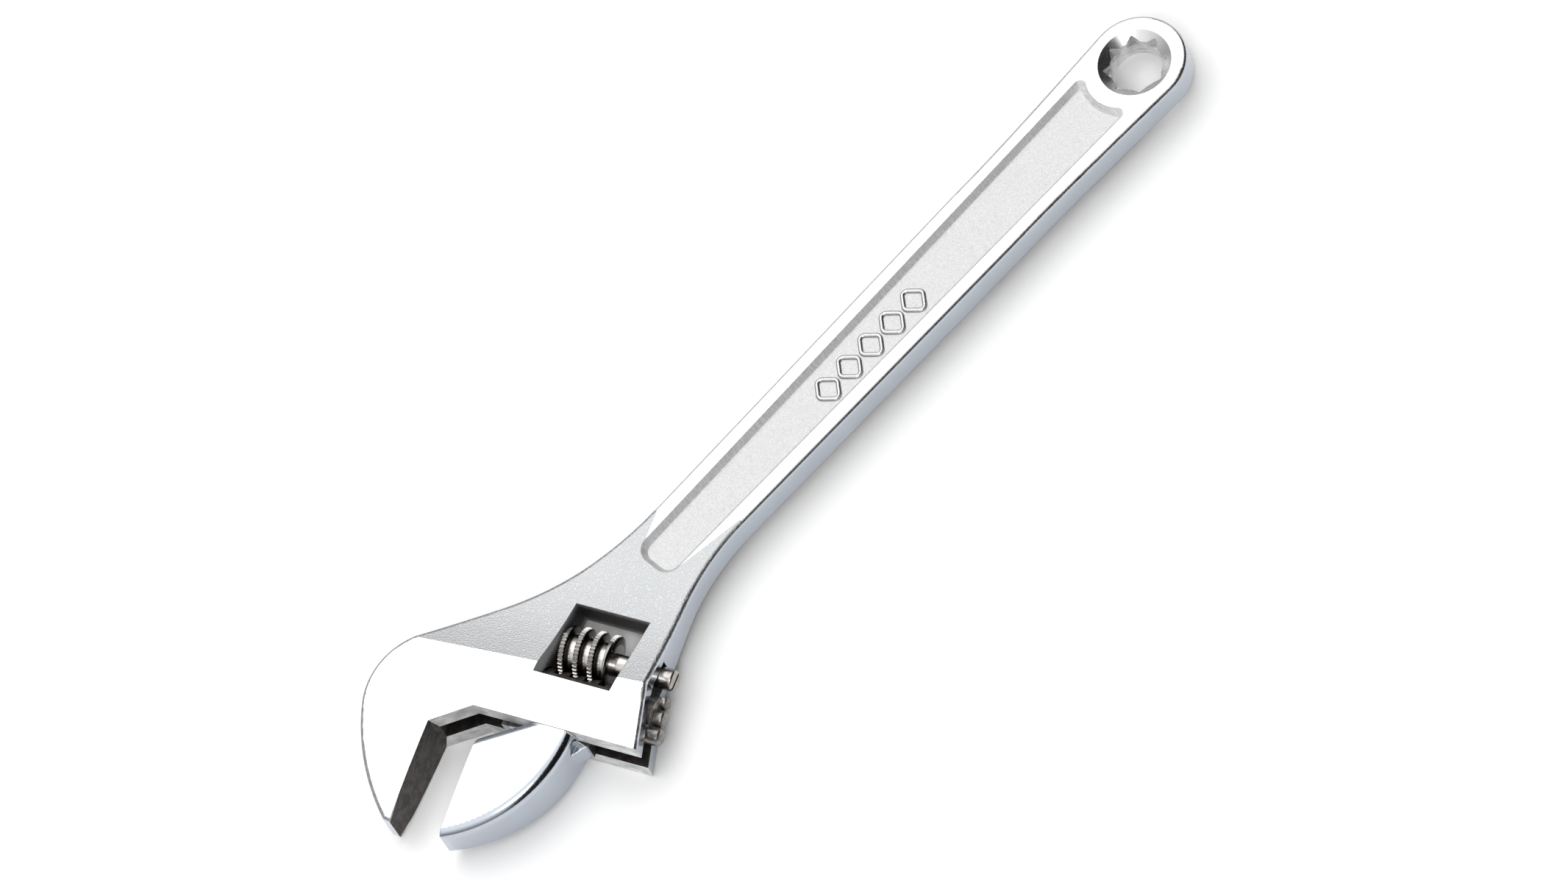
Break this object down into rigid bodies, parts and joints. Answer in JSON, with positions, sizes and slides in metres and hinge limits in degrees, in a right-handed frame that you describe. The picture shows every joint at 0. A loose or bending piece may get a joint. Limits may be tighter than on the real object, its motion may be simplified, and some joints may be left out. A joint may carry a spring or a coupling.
{
  "type": "adjustable wrench",
  "caption": "Adjustable wrench with a panelled forged handle, an angled head, a sliding jaw moved by a worm on a pin, and an end hole with an eight-point socket.",
  "frame": {"origin": "centre of the handle's end hole, in the forging's parting plane", "axes": "+X along the handle to the head, +Z out of the front face, +Y to the side that the movable jaw opens towards"},
  "size_m": [0.3039, 0.0756, 0.0172],
  "materials": {
    "polished_chrome": "ground and polished chrome faces over satin blasted forging",
    "dark_steel": "nickel plated, knurled, darker in the grooves",
    "bright_steel": "plated, turned",
    "spring_steel": "drawn wire",
    "washer_brass": "turned"
  },
  "bodies": {
    "wrench_body": {"forged_body": "polished_chrome", "worm_pin": "bright_steel", "worm_spring": "spring_steel", "thrust_washer": "washer_brass"},
    "jaw": {"movable_jaw": "polished_chrome"},
    "adjusting_worm": {"worm": "dark_steel"}
  },
  "joints": [
    {"name": "jaw_slide", "type": "slide", "parent": "wrench_body", "child": "jaw", "axis": [-0.3827, 0.9239, 0], "range_m": [-0.01495, 0.019]},
    {"name": "worm_turn", "type": "hinge", "parent": "wrench_body", "child": "adjusting_worm", "pos_m": [0.2195, 0.00438, 0], "axis": [-0.3827, 0.9239, 0], "range_deg": [-1560, 1230]}
  ],
  "couplings": [
    {"joint": "worm_turn", "follows": "jaw_slide", "rad_per_m": -1428}
  ]
}
